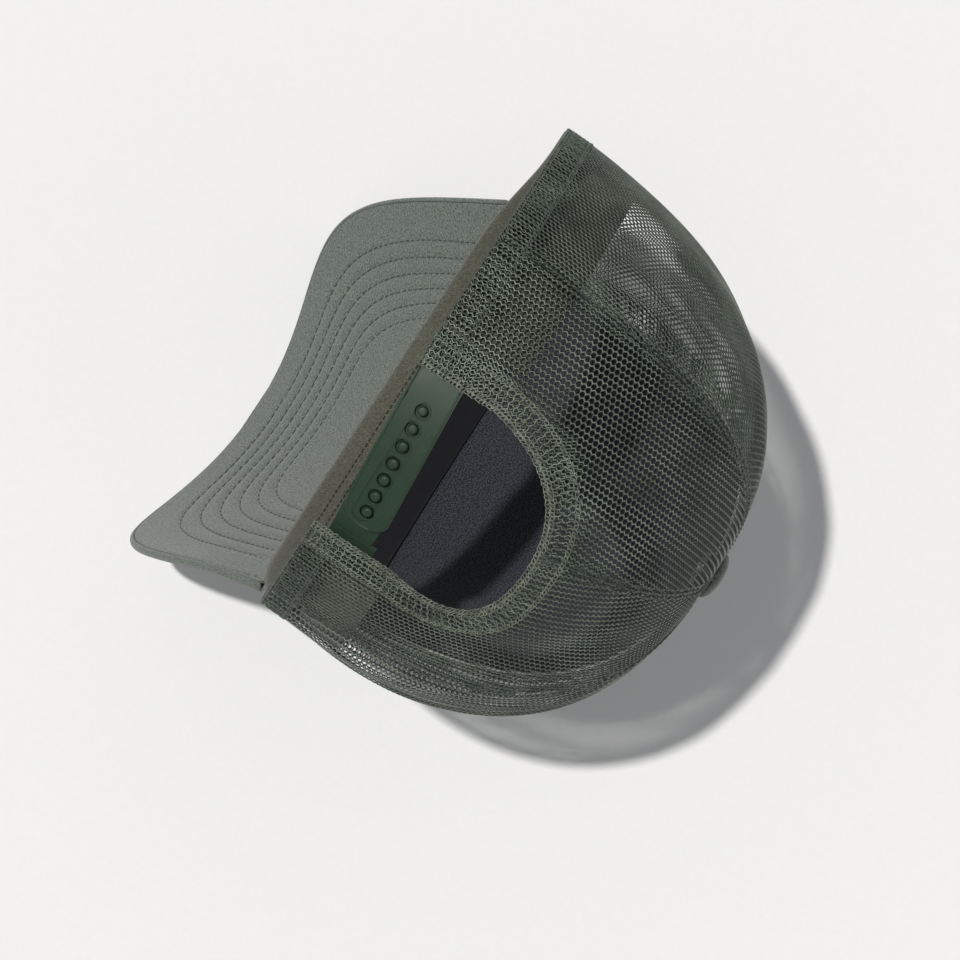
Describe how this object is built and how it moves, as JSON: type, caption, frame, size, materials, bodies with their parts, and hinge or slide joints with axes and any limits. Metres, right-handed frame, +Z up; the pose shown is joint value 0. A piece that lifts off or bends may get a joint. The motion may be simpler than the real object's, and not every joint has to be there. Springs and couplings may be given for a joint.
{
  "type": "trucker mesh cap",
  "caption": "Trucker cap with a twill front, knitted mesh back, stitched curved visor, half-moon back opening and plastic snap closure, its soft back slumped to one side.",
  "frame": {"origin": "centre of the head opening, in the plane of the crown's lower edge", "axes": "+Z up to the top button, -Y towards the visor, +X towards the wearer's left"},
  "size_m": [0.1846, 0.2528, 0.1741],
  "materials": {
    "front_twill": "matte",
    "stiffener_cloth": "matte",
    "lining_cloth": "matte",
    "mesh": "matte",
    "sweatband_cloth": "matte",
    "visor_twill": "matte",
    "visor_board_plastic": "matte",
    "strap_plastic": "satin",
    "button_metal": "satin"
  },
  "bodies": {
    "cap": {"front_panel": "front_twill", "front_panel_stiffener": "stiffener_cloth", "front_panel_lining": "lining_cloth", "mesh_side_left": "mesh", "mesh_side_right": "mesh", "mesh_rear_left": "mesh", "mesh_rear_right": "mesh", "seam_centre_back": "mesh", "seam_rear_left": "mesh", "seam_rear_right": "mesh", "seam_front_left": "mesh", "seam_front_right": "mesh", "hem_left": "mesh", "hem_right": "mesh", "opening_hem": "mesh", "sweatband": "sweatband_cloth", "visor_board": "visor_board_plastic", "visor_top_cover": "visor_twill", "visor_under_cover": "visor_twill", "visor_edge_fold": "visor_twill", "holed_strap_tab": "strap_plastic", "stud_strap_tab": "strap_plastic", "top_button": "front_twill", "button_rivet": "button_metal", "button_washer": "button_metal"},
    "holed_strap": {"holed_strap": "strap_plastic"},
    "stud_strap": {"stud_strap": "strap_plastic"}
  },
  "joints": [
    {"name": "holed_strap_peel", "type": "hinge", "parent": "cap", "child": "holed_strap", "pos_m": [-0.03772, 0.09387, 0.00823], "axis": [0, 0, -1], "range_deg": [0, 75], "stiffness_Nm_per_rad": 0.005},
    {"name": "stud_strap_flex", "type": "hinge", "parent": "cap", "child": "stud_strap", "pos_m": [-0.0811, 0.05414, 0.01257], "axis": [0, 0, -1], "range_deg": [0, 35], "stiffness_Nm_per_rad": 0.005}
  ]
}
